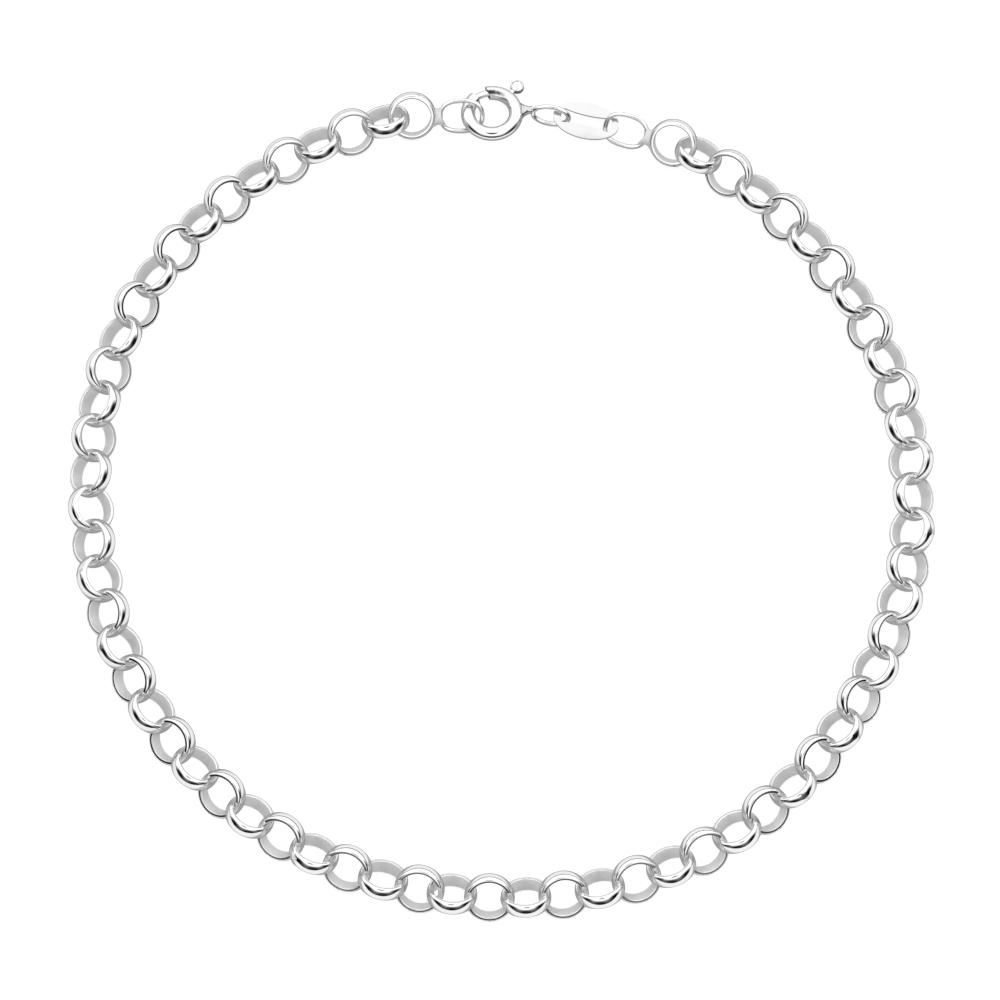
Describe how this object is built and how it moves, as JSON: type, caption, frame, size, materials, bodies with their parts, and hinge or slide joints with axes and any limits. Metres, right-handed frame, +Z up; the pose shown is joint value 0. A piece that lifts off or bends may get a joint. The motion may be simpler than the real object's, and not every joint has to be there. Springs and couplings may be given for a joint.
{
  "type": "link bracelet",
  "caption": "Polished silver belcher chain bracelet with a sprung bolt ring clasp, oval wire end links and a slotted tag, lying closed in a ring.",
  "frame": {"origin": "middle of the bracelet's box, on the plane that it lies on", "axes": "+Z up out of the plane that the bracelet lies on; +Y from the middle of the ring towards the clasp; +X to the right, towards the tag's side of the clasp"},
  "size_m": [0.0694, 0.07, 0.0031],
  "materials": {
    "link_silver": "polished sterling silver, mirror bright outside, finely brushed on the flat inner faces",
    "wire_silver": "polished round silver wire and tube with soft solder joints",
    "tag_silver": "polished thin silver sheet, slightly satin, with rounded edges"
  },
  "bodies": {
    "bracelet": {"chain_right": "link_silver", "chain_left": "link_silver", "end_link_right": "link_silver", "end_link_left": "link_silver", "clasp_body": "wire_silver", "tag_plate": "tag_silver"},
    "bolt": {"clasp_bolt": "wire_silver"}
  },
  "joints": [
    {"name": "bolt_slide", "type": "hinge", "parent": "bracelet", "child": "bolt", "pos_m": [-0.00078, 0.03192, 0.00099], "axis": [0, 0.2079, 0.9781], "range_deg": [-24, 0], "stiffness_Nm_per_rad": 0.003, "springref_deg": 20.05}
  ]
}
